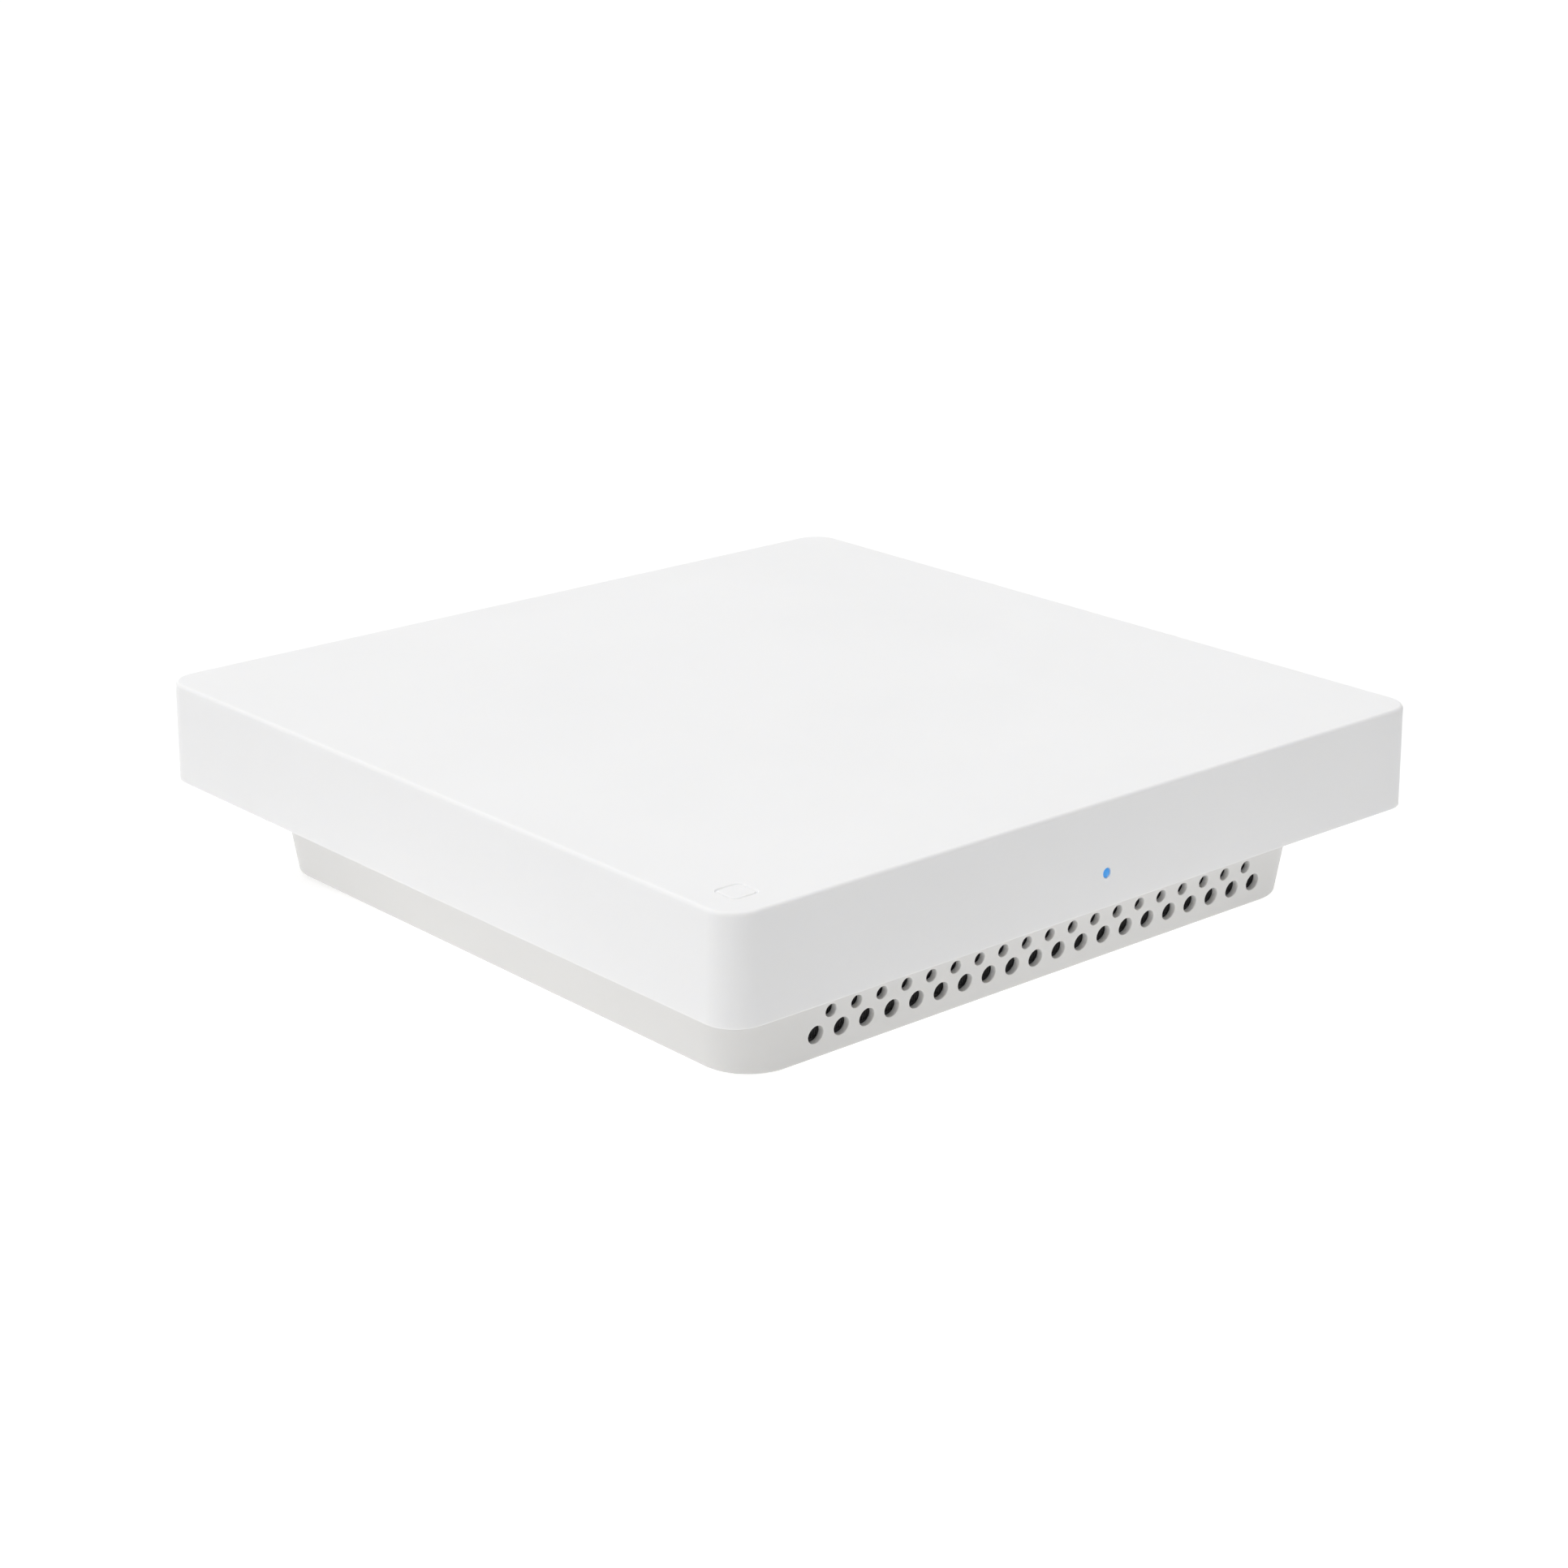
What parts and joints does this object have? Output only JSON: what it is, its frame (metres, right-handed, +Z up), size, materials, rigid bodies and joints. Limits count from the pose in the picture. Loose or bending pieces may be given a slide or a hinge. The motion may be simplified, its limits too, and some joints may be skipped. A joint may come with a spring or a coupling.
{
  "type": "wireless router",
  "caption": "Flat square white wireless router: a wide cover over a smaller tapered vented base, with network and power sockets and two push buttons at the back.",
  "frame": {"origin": "middle of the plane that the feet stand on", "axes": "+Z up through the cover, -Y the front with the vents and the status light, +Y the back with the ports"},
  "size_m": [0.2, 0.2, 0.0454],
  "materials": {
    "cover_plastic": "fine satin moulded plastic",
    "base_plastic": "fine satin moulded plastic, a shade greyer than the cover",
    "panel_plastic": "satin moulded plastic",
    "foot_rubber": "matte grey rubber",
    "brass": "turned brass",
    "label_film": "satin polyester film, blank",
    "screen_mesh": "black woven mesh",
    "screw_steel": "zinc-plated steel",
    "light_pipe_plastic": "clear acrylic lit blue from inside",
    "led_lens": "clear epoxy",
    "board_laminate": "green solder mask",
    "chip_epoxy": "moulded epoxy",
    "crystal_can": "nickel-plated can",
    "capacitor_ceramic": "fired ceramic with tinned ends",
    "thermal_pad": "soft silicone pad",
    "heatsink_aluminium": "as extruded",
    "shield_tinplate": "tin-plated steel sheet",
    "ferrite": "sintered ferrite",
    "capacitor_sleeve": "shrunk sleeve",
    "jack_steel": "nickel-plated steel sheet",
    "jack_plastic": "black glass-filled plastic",
    "contact_gold": "gold-plated spring wire",
    "link_light_plastic": "clear tinted plastic",
    "button_plastic": "satin grey plastic",
    "switch_plastic": "black plastic",
    "stem_plastic": "ivory plastic",
    "plate_aluminium": "rolled sheet",
    "antenna_steel": "tin-plated sheet",
    "lead_jacket": "grey fluoropolymer jacket"
  },
  "bodies": {
    "router": {"top_cover": "cover_plastic", "base_housing": "base_plastic", "rear_panel": "panel_plastic", "rubber_feet": "foot_rubber", "mounting_inserts": "brass", "rating_label": "label_film", "dust_screen": "screen_mesh", "cover_screws": "screw_steel", "light_pipe": "light_pipe_plastic", "status_led": "led_lens", "main_board": "board_laminate", "board_screws": "screw_steel", "system_on_chip": "chip_epoxy", "memory_chips": "chip_epoxy", "flash_chip": "chip_epoxy", "radio_chips": "chip_epoxy", "crystals": "crystal_can", "chip_capacitors": "capacitor_ceramic", "thermal_pads": "thermal_pad", "heatsink": "heatsink_aluminium", "heatsink_screws": "screw_steel", "shield_frame_rear": "shield_tinplate", "shield_frame_front": "shield_tinplate", "shield_lid_rear": "shield_tinplate", "shield_lid_front": "shield_tinplate", "ethernet_transformers": "chip_epoxy", "poe_transformer": "ferrite", "bulk_capacitors": "capacitor_sleeve", "power_inductors": "ferrite", "wan_jack_shield": "jack_steel", "lan_jack_shield": "jack_steel", "wan_jack_insert": "jack_plastic", "lan_jack_insert": "jack_plastic", "wan_jack_contacts": "contact_gold", "lan_jack_contacts": "contact_gold", "jack_link_lights": "link_light_plastic", "power_jack": "jack_plastic", "power_jack_pin": "jack_steel", "pairing_switch": "switch_plastic", "reset_switch": "switch_plastic", "antenna_plate": "plate_aluminium", "plate_standoffs": "brass", "plate_screws": "screw_steel", "antenna_leads": "lead_jacket", "lead_plugs": "contact_gold", "lead_sockets": "contact_gold", "small_antenna_1": "board_laminate", "large_antenna_1": "antenna_steel", "small_antenna_2": "board_laminate", "large_antenna_2": "antenna_steel", "small_antenna_3": "board_laminate", "large_antenna_3": "antenna_steel", "small_antenna_4": "board_laminate", "large_antenna_4": "antenna_steel"},
    "pairing_button": {"pairing_button": "button_plastic", "pairing_switch_stem": "stem_plastic"},
    "reset_button": {"reset_button": "button_plastic", "reset_switch_stem": "stem_plastic"}
  },
  "joints": [
    {"name": "pairing_press", "type": "slide", "parent": "router", "child": "pairing_button", "axis": [0, -1, 0], "range_m": [0, 0.0005], "stiffness_N_per_m": 3000},
    {"name": "reset_press", "type": "slide", "parent": "router", "child": "reset_button", "axis": [0, -1, 0], "range_m": [0, 0.0005], "stiffness_N_per_m": 3000}
  ]
}
